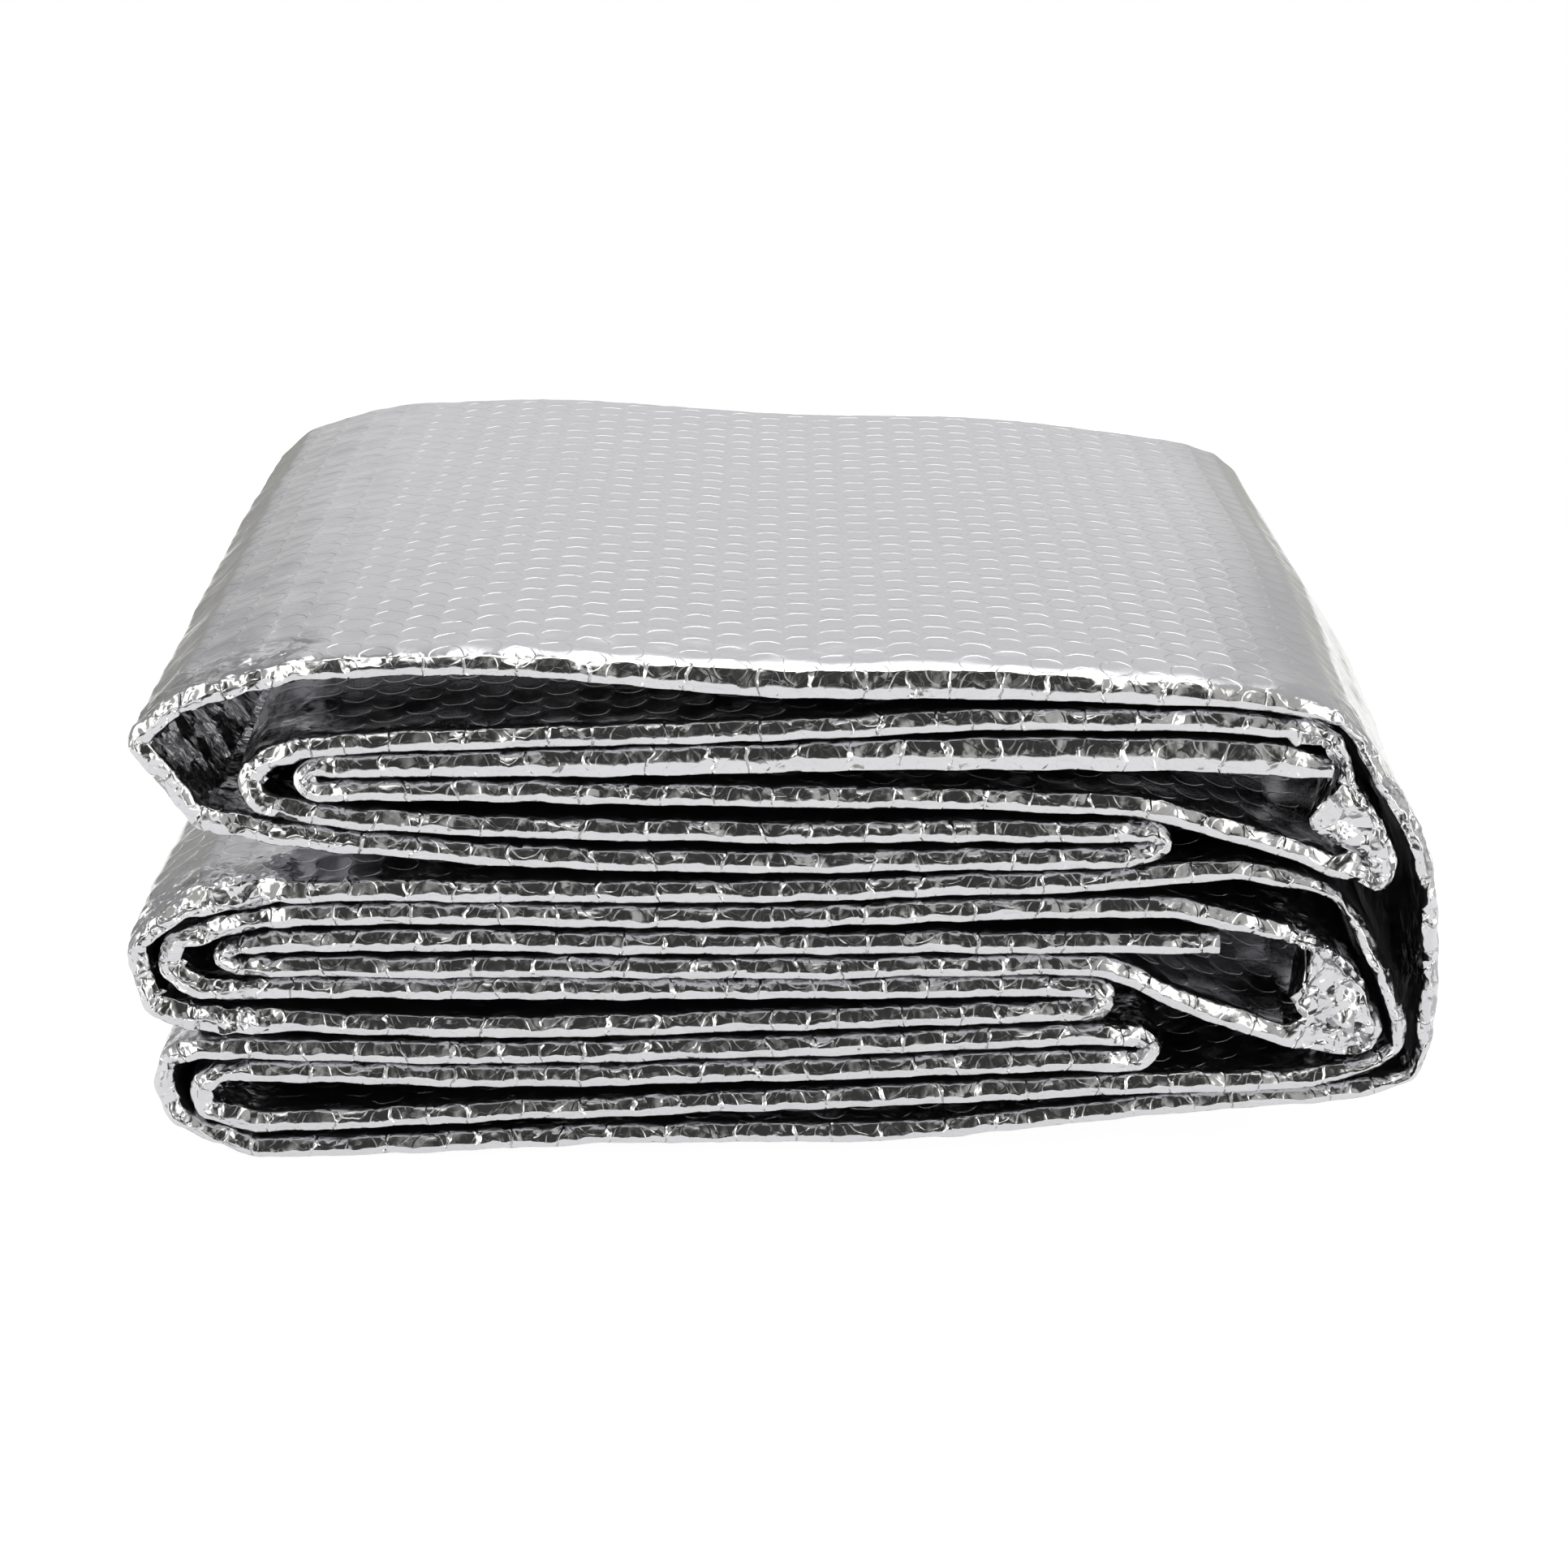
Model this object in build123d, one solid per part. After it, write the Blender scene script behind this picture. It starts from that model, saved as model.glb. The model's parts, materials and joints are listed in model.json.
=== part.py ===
"""Folded reflective thermal blanket: one foil and bubble laminate, doubled once and folded crosswise.

The sheet is first doubled lengthwise, with that crease at the front (-Y), and is then folded crosswise
into sixteen stacked sections. Section 01 is the top one and section 16 lies on the ground. Every crease
of the crosswise fold runs along Y, so each piece is a band of the doubled sheet, drawn as a centreline in
the XZ plane. Two tall walls on the right, the outer and the inner spine, join three packs of sections.
Origin: centre of the footprint, on the ground. Units: millimetres.
"""
from build123d import *
import math
import os

# Overall sizes
PILE_WIDTH = 384.0       # X, over the folds and the outer spine
FOLD_DEPTH = 336.0       # Y, from the lengthwise crease at the front to the cut edges at the back

# Laminate
BAND_THICKNESS = 5.2     # both plies of the doubled sheet
FOIL_THICKNESS = 0.3     # outer film, drawn thicker than the real film so that it stays a solid
PLY_GAP = 0.4            # air between the two plies
CREASE_DEPTH = 4.0       # solid nose at the front crease, where the two plies are one

# Height stations across the width, as X
LEFT_STATION = -86.0 / 384.0 * PILE_WIDTH
MIDDLE_STATION = 0.0
RIGHT_STATION = 70.0 / 384.0 * PILE_WIDTH

# Section 16 lies flat on the ground and lifts towards the outer spine
GROUND_LIFT = (0.0, 0.0, 4.4)
GROUND_FLAT_END = 38.0 / 384.0 * PILE_WIDTH

# Air above each section at the left, middle and right stations
AIR_ABOVE = {
    16: (7.9, 11.1, 9.7), 15: (5.8, 4.3, 3.6), 14: (2.1, 2.6, 3.1), 13: (2.7, 3.5, 2.7),
    12: (7.2, 4.7, 3.1), 11: (1.3, 1.1, 1.0), 10: (3.2, 2.6, 2.5), 9: (3.2, 3.1, 5.5),
    8: (1.6, 3.1, 2.3), 7: (5.9, 3.5, 2.4), 6: (4.0, 4.1, 3.7), 5: (5.7, 6.2, 4.1),
    4: (3.2, 7.4, 9.2), 3: (2.8, 2.4, 5.5), 2: (18.2, 8.2, 4.4),
}

HALF_WIDTH = PILE_WIDTH / 2
HALF_BAND = BAND_THICKNESS / 2
FRONT = -FOLD_DEPTH / 2
BACK = FOLD_DEPTH / 2
LEFT, MIDDLE, RIGHT = 0, 1, 2


def pile_heights():
    """Centreline height of every section at the three stations, from the ground up."""
    heights = {16: tuple(HALF_BAND + lift for lift in GROUND_LIFT)}
    for section in range(15, 0, -1):
        below = heights[section + 1]
        air = AIR_ABOVE[section + 1]
        heights[section] = tuple(z + gap + BAND_THICKNESS for z, gap in zip(below, air))
    return heights


HEIGHT = pile_heights()


def left(inset, section, rise=0.0):
    """A point measured in from the left side and up from a section's left height."""
    return (-HALF_WIDTH + inset, HEIGHT[section][LEFT] + rise)


def right(inset, section, rise=0.0):
    """A point measured in from the right side and up from a section's right height."""
    return (HALF_WIDTH - inset, HEIGHT[section][RIGHT] + rise)


def across(section, rightwards):
    """The three station points of a section, in the direction in which the sheet runs."""
    stations = [
        (LEFT_STATION, HEIGHT[section][LEFT]),
        (MIDDLE_STATION, HEIGHT[section][MIDDLE]),
        (RIGHT_STATION, HEIGHT[section][RIGHT]),
    ]
    return stations if rightwards else stations[::-1]


# The sheet from its free end inside the top pack to its free end inside the middle pack.
# Each entry is a piece and its own points; it starts at the last point of the piece before it.
ROUTE = [
    ("section_03", [right(41.0, 3, -2.9), right(54.0, 3, -0.9)] + across(3, False) + [left(65.0, 3, -1.1)]),
    ("fold_left_03_04", [left(56.8, 3, -1.4), left(53.2, 4, 3.7), left(56.8, 4, 0.3), left(65.0, 4, 0.2)]),
    ("section_04", across(4, True) + [right(89.0, 4, -2.1), right(61.0, 4, -9.9), right(42.0, 4, -15.9),
                                      right(29.0, 4, -22.1)]),
    ("fold_right_02_04", [right(21.0, 4, -26.3), right(17.0, 4, -23.6), right(18.0, 4, -15.6),
                          right(21.5, 4, -8.1), right(27.0, 4, 1.9), right(32.0, 2, -14.2),
                          right(36.5, 2, -6.7), right(43.5, 2, -3.2)]),
    ("section_02", [right(70.0, 2, -1.2)] + across(2, False) + [left(56.0, 2, -2.4)]),
    ("fold_left_02_05", [left(44.0, 2, -5.5), left(38.0, 2, -11.5), left(40.5, 5, 8.8), left(52.0, 5, 5.1)]),
    ("section_05", [left(71.0, 5, 1.5)] + across(5, True) + [right(95.0, 5, -0.6)]),
    ("fold_right_05_06", [right(85.5, 5, -0.6), right(81.5, 6, 4.9), right(85.5, 6, 1.7), right(95.0, 6, 0.3)]),
    ("section_06", across(6, False) + [left(69.0, 6, 4.0)]),
    ("fold_left_01_06", [left(43.0, 6, 8.5), left(24.0, 6, 13.0), left(15.5, 6, 24.5), left(6.5, 6, 36.5),
                         left(19.0, 1, -12.4), left(40.0, 1, -5.1), left(57.0, 1, -2.1)]),
    ("section_01", across(1, True) + [right(70.0, 1, -2.3), right(44.0, 1, -6.6), right(34.0, 1, -9.8)]),
    ("outer_spine", [right(27.5, 1, -16.3), right(22.0, 1, -26.8), right(15.5, 1, -35.8),
                     right(10.5, 1, -44.3), right(6.5, 1, -53.8), right(HALF_BAND + 1.4, 7, -7.3),
                     right(HALF_BAND, 10, -1.4), right(HALF_BAND + 0.2, 14, 5.3), right(6.0, 16, 19.0)]),
    ("section_16", [right(21.0, 16, 13.0), right(36.0, 16, 9.2), right(99.0, 16, 2.5)]
     + across(16, False)[:1] + [(GROUND_FLAT_END, HALF_BAND)] + across(16, False)[1:] + [left(34.0, 16)]),
    ("fold_left_13_16", [left(21.0, 16, 4.9), left(11.0, 16, 10.4), left(7.5, 14, -2.7), left(10.0, 13, -1.5),
                         left(19.0, 13, 1.5)]),
    ("section_13", across(13, True) + [right(96.0, 13, 0.8)]),
    ("fold_right_13_14", [right(87.0, 13, 0.6), right(83.0, 14, 4.9), right(87.0, 14, 0.7),
                          right(96.0, 14, 0.2)]),
    ("section_14", across(14, False) + [left(34.0, 14, 1.5)]),
    ("fold_left_14_15", [left(25.0, 14, 2.1), left(18.4, 14, -3.2), left(19.5, 15, -0.2),
                         left(35.0, 15, -4.1)]),
    ("section_15", [left(72.0, 15, -2.9)] + across(15, True) + [right(77.0, 15, 1.9), right(40.0, 15, 3.7),
                                                                right(17.0, 15, 8.9)]),
    ("inner_spine", [right(10.4, 15, 14.4), right(10.7, 12, -2.4), right(17.5, 10, 0.1), right(25.0, 8, -4.8),
                     right(31.5, 7, -2.8)]),
    ("section_07", [right(40.0, 7, 0.7), right(61.0, 7, 4.2), right(88.0, 7, 2.1)] + across(7, False)
     + [left(48.0, 7, 0.6)]),
    ("fold_left_07_12", [left(18.0, 7, -3.6), left(HALF_BAND + 0.1, 7, -14.2), left(3.6, 12, 15.6),
                         left(5.6, 12, 6.5), left(17.0, 12, 4.3), left(42.0, 12, 2.2)]),
    ("section_12", across(12, True) + [right(108.0, 12, 0.3)]),
    ("fold_right_11_12", [right(100.0, 12, 0.7), right(96.2, 12, 4.5), right(100.0, 11, 0.0),
                          right(108.0, 11, 0.1)]),
    ("section_11", across(11, False) + [left(42.0, 11, 0.6)]),
    ("fold_left_08_11", [left(20.0, 11, 1.1), left(11.8, 11, 7.2), left(14.5, 8, -7.0), left(35.0, 8, -1.0),
                         left(46.0, 8, 0.0)]),
    ("section_08", across(8, True) + [right(79.0, 8, 0.2), right(59.0, 8, -4.8), right(45.0, 8, -7.8)]),
    ("fold_right_08_10", [right(32.0, 8, -14.8), right(24.0, 10, -6.4), right(18.5, 10, -17.4),
                          right(19.5, 12, -9.4), right(28.0, 12, -11.3), right(40.0, 12, -8.4)]),
    ("section_10", [right(59.0, 12, -2.7), right(77.0, 12, 3.9), right(88.0, 10, -3.9), right(100.0, 10, 0.2)]
     + across(10, False) + [left(46.0, 10, 0.1)]),
    ("fold_left_09_10", [left(32.0, 10, 0.5), left(26.5, 10, 4.4), left(32.0, 9, 0.0), left(46.0, 9, 0.4)]),
    ("section_09", across(9, True) + [right(65.0, 9, -0.7)]),
]


def unit(start, end):
    """Unit direction from one point to the next."""
    length = math.dist(start, end)
    return ((end[0] - start[0]) / length, (end[1] - start[1]) / length)


def offset_line(points, distance):
    """The centreline moved sideways by a distance, with mitred corners."""
    moved = []
    for index, point in enumerate(points):
        before = unit(points[index - 1], point) if index > 0 else unit(point, points[1])
        after = unit(point, points[index + 1]) if index + 1 < len(points) else before
        normal_sum = (-before[1] - after[1], before[0] + after[0])
        scale = distance / (1.0 + before[0] * after[0] + before[1] * after[1])
        moved.append((point[0] + normal_sum[0] * scale, point[1] + normal_sum[1] * scale))
    return moved


def piece_spans():
    """The whole centreline, and each piece's first and last index on it."""
    points, spans = [], {}
    for name, own_points in ROUTE:
        first = max(len(points) - 1, 0)
        points.extend(own_points)
        spans[name] = (first, len(points) - 1)
    return points, spans


CENTRELINE, SPANS = piece_spans()


def band(name, half_thickness, front, back):
    """A solid band of the sheet: one piece's stretch, to one half thickness, over a stretch of Y."""
    first, last = SPANS[name]
    upper = offset_line(CENTRELINE, half_thickness)[first:last + 1]
    lower = offset_line(CENTRELINE, -half_thickness)[first:last + 1]
    outline = [(x, front, z) for x, z in upper + lower[::-1]]
    face = make_face(Polyline(*outline, close=True))
    return extrude(face, amount=back - front, dir=(0, 1, 0))


def doubled_core(name, half_thickness, front):
    """The doubled sheet: two plies that are one at the front crease and open at the back."""
    return band(name, half_thickness, front, BACK) - band(name, PLY_GAP / 2, FRONT + CREASE_DEPTH, BACK)


def bubble_core(name):
    """The bubble film of both plies of a section, inside its foil."""
    return doubled_core(name, HALF_BAND - FOIL_THICKNESS, FRONT + FOIL_THICKNESS)


def foil_jacket(name):
    """The outer foil of a section: its upper face, its front nose and its lower face."""
    inside = band(name, HALF_BAND - FOIL_THICKNESS, FRONT + FOIL_THICKNESS, BACK)
    return band(name, HALF_BAND, FRONT, BACK) - inside


def pieces():
    """Every node of the blanket, as a dictionary of shapes."""
    made = {}
    for name, _ in ROUTE:
        if name.startswith("fold"):
            made[name] = doubled_core(name, HALF_BAND, FRONT)
        else:
            made[name + "_bubbles"] = bubble_core(name)
            made[name + "_foil"] = foil_jacket(name)
    return made


os.makedirs("parts", exist_ok=True)
for node, shape in pieces().items():
    export_step(shape, f"parts/{node}.step")
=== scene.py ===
"""Folded reflective thermal blanket: the looks around the packed frame.

The blanket is one doubled sheet of foil and air-bubble film, folded crosswise into a pile. Every piece here
is a rectangle of the flat sheet, laid out with a bmesh grid, and then taken through the same two steps as the
real one: it is doubled round the front crease, and folded along the route that the frame's pieces follow.
Flat coordinates are kept on each piece as a UV map in metres, so that bubbles run on from piece to piece.
"""
from __future__ import annotations

import json
import logging
import math
from dataclasses import dataclass, field
from enum import Enum
from functools import cached_property

import bmesh
import bpy
import numpy as np
from bpy.types import Material, Mesh, Node, NodeSocket, NodeTree, Object
from numpy import ndarray
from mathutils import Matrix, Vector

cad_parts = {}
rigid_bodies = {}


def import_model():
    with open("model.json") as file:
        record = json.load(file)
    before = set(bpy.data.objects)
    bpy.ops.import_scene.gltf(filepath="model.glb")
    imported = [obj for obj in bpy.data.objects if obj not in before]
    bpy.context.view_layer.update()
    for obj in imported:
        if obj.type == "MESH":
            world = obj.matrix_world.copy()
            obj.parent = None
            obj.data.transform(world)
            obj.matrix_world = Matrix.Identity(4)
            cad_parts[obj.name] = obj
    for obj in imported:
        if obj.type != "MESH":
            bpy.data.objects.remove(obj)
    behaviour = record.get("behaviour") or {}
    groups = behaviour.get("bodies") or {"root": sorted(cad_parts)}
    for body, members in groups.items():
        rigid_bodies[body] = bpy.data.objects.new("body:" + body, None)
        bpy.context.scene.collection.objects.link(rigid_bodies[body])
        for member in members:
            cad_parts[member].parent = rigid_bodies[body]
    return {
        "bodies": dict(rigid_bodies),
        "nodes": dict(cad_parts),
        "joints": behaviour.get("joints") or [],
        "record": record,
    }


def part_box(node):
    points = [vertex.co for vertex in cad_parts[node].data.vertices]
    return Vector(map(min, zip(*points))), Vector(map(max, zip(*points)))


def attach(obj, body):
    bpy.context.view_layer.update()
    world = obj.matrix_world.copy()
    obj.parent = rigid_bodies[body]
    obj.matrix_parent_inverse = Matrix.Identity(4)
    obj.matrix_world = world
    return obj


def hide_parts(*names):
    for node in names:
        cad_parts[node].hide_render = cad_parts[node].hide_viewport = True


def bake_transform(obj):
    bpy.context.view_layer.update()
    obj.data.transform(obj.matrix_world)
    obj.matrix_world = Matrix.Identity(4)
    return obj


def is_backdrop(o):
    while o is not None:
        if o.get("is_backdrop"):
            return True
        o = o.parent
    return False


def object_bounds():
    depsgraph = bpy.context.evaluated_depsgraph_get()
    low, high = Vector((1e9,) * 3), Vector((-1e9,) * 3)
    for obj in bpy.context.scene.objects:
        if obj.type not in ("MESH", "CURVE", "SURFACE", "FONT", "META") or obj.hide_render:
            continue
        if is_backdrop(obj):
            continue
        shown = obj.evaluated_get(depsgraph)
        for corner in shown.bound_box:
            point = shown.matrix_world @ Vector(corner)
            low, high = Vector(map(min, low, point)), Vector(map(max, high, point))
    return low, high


LOG = logging.getLogger("blanket")
MM = 0.001
LAMINATE_MAP = "laminate"
CRACKLE_MAP = "crackle"
FILM_SLOT = "bubble_film"


# ---- numbers ----


def smoothstep(low: float, high: float, value: ndarray) -> ndarray:
    """Ease a value from 0 at low to 1 at high.

    Args:
        low: Where the result is 0.
        high: Where the result is 1.
        value: The values to ease.

    Returns:
        An array between 0 and 1.
    """
    share = np.clip((value - low) / (high - low), 0.0, 1.0)
    return share * share * (3.0 - 2.0 * share)


@dataclass(frozen=True)
class Crinkle:
    """Repeatable two-dimensional noise on the flat sheet, with its own salt for each use."""

    salt: int

    def _random(self, column: ndarray, row: ndarray, stream: int) -> ndarray:
        """A repeatable random number from 0 to 1 for each lattice cell.

        Args:
            column: Cell number along the first axis.
            row: Cell number along the second axis.
            stream: Which of several independent numbers.

        Returns:
            An array from 0 to 1.
        """
        key = column.astype(np.int64) * 374761393 + row.astype(np.int64) * 668265263
        key = (key + (self.salt * 7919 + stream) * 69069) & 0xFFFFFFFF
        key = ((key ^ (key >> 13)) * 1274126177) & 0xFFFFFFFF
        key = ((key ^ (key >> 15)) * 2246822519) & 0xFFFFFFFF
        return ((key ^ (key >> 16)) & 0xFFFFFF) / float(0x1000000)

    def wave(self, across: ndarray, along: ndarray, size: float) -> ndarray:
        """Smooth noise, as of a sheet that sags and lifts.

        Args:
            across: First coordinate.
            along: Second coordinate.
            size: Distance between independent values, in the coordinates' unit.

        Returns:
            An array from -1 to 1.
        """
        first, second = across / size, along / size
        column, row = np.floor(first), np.floor(second)
        right, up = first - column, second - row
        right, up = right * right * (3 - 2 * right), up * up * (3 - 2 * up)
        low = self._random(column, row, 0) * (1 - right) + self._random(column + 1, row, 0) * right
        high = self._random(column, row + 1, 0) * (1 - right) + self._random(column + 1, row + 1, 0) * right
        return 2.0 * (low * (1 - up) + high * up) - 1.0

    def facets(self, across: ndarray, along: ndarray, size: float) -> ndarray:
        """Crumpled relief: shallow hollows that meet in sharp ridges, as in creased foil.

        Args:
            across: First coordinate.
            along: Second coordinate.
            size: Typical width of one facet, in the coordinates' unit.

        Returns:
            An array from about -1, in a hollow, to 1, on a ridge.
        """
        first, second = across / size, along / size
        column, row = np.floor(first), np.floor(second)
        nearest = np.full(first.shape, 9.0)
        for step_column in (-1, 0, 1):
            for step_row in (-1, 0, 1):
                cell_column, cell_row = column + step_column, row + step_row
                centre_first = cell_column + self._random(cell_column, cell_row, 1)
                centre_second = cell_row + self._random(cell_column, cell_row, 2)
                nearest = np.minimum(nearest, np.hypot(first - centre_first, second - centre_second))
        return np.clip(nearest * 2.2 - 1.0, -1.0, 1.2)


# ---- the sheet ----


@dataclass(frozen=True)
class Laminate:
    """The flat sheet and how it is doubled at the front crease. Lengths are in metres."""

    half_band: float = 2.6 * MM          # both plies of the doubled sheet, halved
    ply: float = 2.1 * MM                # one ply: foil, bubble film, foil
    bubble_row: float = 10.0 * MM        # distance between columns of bubbles
    bubble_pitch: float = 11.5 * MM      # distance between bubbles in a column
    bubble_radius: float = 5.0 * MM
    dish_depth: float = 0.07 * MM        # how far the film over a bubble is drawn in

    def dishes(self, along: ndarray, across: ndarray) -> ndarray:
        """Relief of the film over the hexagonal bubbles.

        Args:
            along: Flat coordinate along the sheet.
            across: Flat coordinate across the sheet, from the front crease.

        Returns:
            How far the surface lies under its full height, in metres, as negative numbers.
        """
        distance = np.full(along.shape, 1.0)
        for shift in (0.0, 0.5):
            local_along = (along / (2 * self.bubble_row) + shift) % 1.0 - 0.5
            local_across = (across / self.bubble_pitch + shift) % 1.0 - 0.5
            here = np.hypot(local_along * 2 * self.bubble_row, local_across * self.bubble_pitch)
            distance = np.minimum(distance, here)
        share = np.clip(distance / self.bubble_radius, 0.0, 1.0)
        return -self.dish_depth * (1.0 - share ** 4)


@dataclass(frozen=True)
class Nose:
    """Cross-section of the front crease, as one ply leaves it. Lengths are in metres.

    The ply first runs along a flat facet, and then rounds off into the face of the band.
    """

    lean: float | ndarray                # how far the facet leans inwards
    shoulder: float | ndarray            # height at which the rounding starts, under the face
    roll: float | ndarray                # how far the rounding runs on into the face

    def mixed(self, other: Nose, share: ndarray) -> Nose:
        """A nose between this one, where the share is 0, and another one, where it is 1."""
        pairs = zip(vars(self).values(), vars(other).values())
        return Nose(*(one + (two - one) * share for one, two in pairs))


class NoseShape(Enum):
    """The noses of an under ply, an upper ply, and the loose upper ply of the top section."""

    UNDER = Nose(0.35 * MM, 0.55 * MM, 1.6 * MM)
    UPPER = Nose(1.9 * MM, 0.95 * MM, 3.0 * MM)
    TOP = Nose(2.1 * MM, 1.3 * MM, 7.5 * MM)


class Grade(Enum):
    """How finely one face of a piece is divided, by how much of it shows."""

    SHOWN = ((0.0, 8.0, 20.0, 336.0), (14, 7, 90))
    MOUTH = ((0.0, 8.0, 34.0, 110.0, 336.0), (13, 11, 9, 6))

    def stations(self) -> ndarray:
        """Distances from the front crease, in metres, of the grid's lines on one face."""
        ends, counts = self.value
        lines = [np.linspace(low, high, count, endpoint=False)
                 for low, high, count in zip(ends[:-1], ends[1:], counts)]
        return np.concatenate(lines + [np.array([ends[-1]])]) * MM


@dataclass
class FoldRoute:
    """The line that the doubled sheet follows in the XZ plane, read from the frame's pieces."""

    order: tuple[str, ...]
    sample: float = 0.5 * MM
    tight: float = 1.5 * MM              # smoothing near a sharp fold
    slack: float = 16.0 * MM             # smoothing along the open stretches
    spans: dict[str, tuple[float, float]] = field(default_factory=dict)

    def read(self, nodes: dict[str, Object]) -> None:
        """Chain the centrelines of all pieces into one line and smooth it.

        Args:
            nodes: The frame's nodes by name.
        """
        corners: list[ndarray] = []
        lengths = [0.0]
        for name in self.order:
            line = self._centreline(nodes[name if name in nodes else name + "_bubbles"])
            if not corners:
                following = self._centreline(nodes[self.order[1]])
                ends = (following[0], following[-1])
                if min(math.dist(line[0], e) for e in ends) < min(math.dist(line[-1], e) for e in ends):
                    line = line[::-1]
                corners.extend(line)
            else:
                if math.dist(line[-1], corners[-1]) < math.dist(line[0], corners[-1]):
                    line = line[::-1]
                corners.extend(line[1:])
            steps = np.hypot(*np.diff(np.array(corners), axis=0).T)
            self.spans[name] = (lengths[-1], float(steps.sum()))
            lengths.append(float(steps.sum()))
        self._smooth(np.array(corners))

    @staticmethod
    def _centreline(node: Object) -> list[ndarray]:
        """Midline of one extruded band, from the outline of its front face.

        Args:
            node: A frame piece that is a band extruded along Y.

        Returns:
            Points (x, z) from one end of the band to the other.
        """
        mesh = bmesh.new()
        mesh.from_mesh(node.data)
        bmesh.ops.remove_doubles(mesh, verts=mesh.verts, dist=0.002 * MM)
        front = min(v.co.y for v in mesh.verts)
        cap = {f for f in mesh.faces if all(v.co.y < front + 0.01 * MM for v in f.verts)}
        rim = [e for e in mesh.edges if sum(f in cap for f in e.link_faces) == 1]
        follow: dict[int, list[int]] = {}
        for edge in rim:
            first, second = (v.index for v in edge.verts)
            follow.setdefault(first, []).append(second)
            follow.setdefault(second, []).append(first)
        mesh.verts.ensure_lookup_table()
        loop = [next(iter(follow))]
        loop.append(follow[loop[0]][0])
        while len(loop) < len(follow):
            here, before = loop[-1], loop[-2]
            loop.append(next(v for v in follow[here] if v != before))
        points = np.array([(mesh.verts[i].co.x, mesh.verts[i].co.z) for i in loop])
        mesh.free()
        half = len(points) // 2
        pairings = []
        for turn in range(len(points)):
            rolled = np.roll(points, -turn, axis=0)
            widths = np.hypot(*(rolled[:half] - rolled[::-1][:half]).T)
            pairings.append((float(widths.max()), turn))
        rolled = np.roll(points, -min(pairings)[1], axis=0)
        return list((rolled[:half] + rolled[::-1][:half]) / 2)

    def _smooth(self, corners: ndarray) -> None:
        """Round the chained line: a little at the folds, more along the open stretches.

        Args:
            corners: Corner points of the whole line.
        """
        steps = np.hypot(*np.diff(corners, axis=0).T)
        reach = np.concatenate([[0.0], np.cumsum(steps)])
        margin = 4 * self.slack
        self.length = float(reach[-1])
        self.places = np.arange(-margin, self.length + margin, self.sample)
        first = (corners[0] - corners[1]) / steps[0] * margin + corners[0]
        last = (corners[-1] - corners[-2]) / steps[-1] * margin + corners[-1]
        known = np.concatenate([[-margin], reach, [self.length + margin]])
        padded = np.vstack([first, corners, last])
        raw = np.stack([np.interp(self.places, known, padded[:, axis]) for axis in (0, 1)])
        directions = np.diff(corners, axis=0) / steps[:, None]
        turns = np.arccos(np.clip((directions[1:] * directions[:-1]).sum(axis=1), -1, 1))
        sharp = reach[1:-1][turns > math.radians(9.0)]
        nearest = np.abs(self.places[:, None] - sharp[None, :]).min(axis=1)
        loose = smoothstep(1.0 * self.slack, 3.0 * self.slack, nearest)
        tight, slack = self._blur(raw, self.tight), self._blur(raw, self.slack)
        self.line = tight * (1 - loose) + slack * loose
        tangent = np.gradient(self.line, self.sample, axis=1)
        self.tangent = tangent / np.hypot(*tangent)

    def _blur(self, line: ndarray, sigma: float) -> ndarray:
        """Average a sampled line with a bell-shaped weight.

        Args:
            line: Two rows, x and z, at even steps.
            sigma: Width of the bell.

        Returns:
            The averaged line.
        """
        count = int(round(3 * sigma / self.sample))
        offsets = np.arange(-count, count + 1) * self.sample
        weights = np.exp(-0.5 * (offsets / sigma) ** 2)
        weights /= weights.sum()
        padded = np.pad(line, ((0, 0), (count, count)), mode="edge")
        return np.stack([np.convolve(row, weights, mode="valid") for row in padded])

    def at(self, along: ndarray) -> tuple[ndarray, ndarray]:
        """Place and direction on the route.

        Args:
            along: Flat coordinates along the sheet.

        Returns:
            Points (x, z) and unit tangents (x, z), one column for each coordinate.
        """
        point = np.stack([np.interp(along, self.places, row) for row in self.line])
        tangent = np.stack([np.interp(along, self.places, row) for row in self.tangent])
        return point, tangent / np.hypot(*tangent)


@dataclass(frozen=True)
class Handling:
    """How roughly one stretch has been handled. Lengths are in metres."""

    crumple: float = 0.05 * MM           # depth of the facets in each face
    buckle: float = 0.0                  # how far the doubled band itself buckles
    kink: float = 0.5 * MM               # how far the front crease wanders in and out
    crackle: float = 0.0                 # share of sharp small creases, from 0 to 1
    spring: float = 0.6 * MM             # how far the front crease springs open, where it has room
    closing: float = 2.4 * MM            # how far the faces close up on their neighbours behind it
    filling: float = 0.0                 # crumpled foil inside the fold: positive on the normal's side
    hollow: float = 0.0                  # 1 or -1 where the inside shows: 1 on the normal's side


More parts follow.
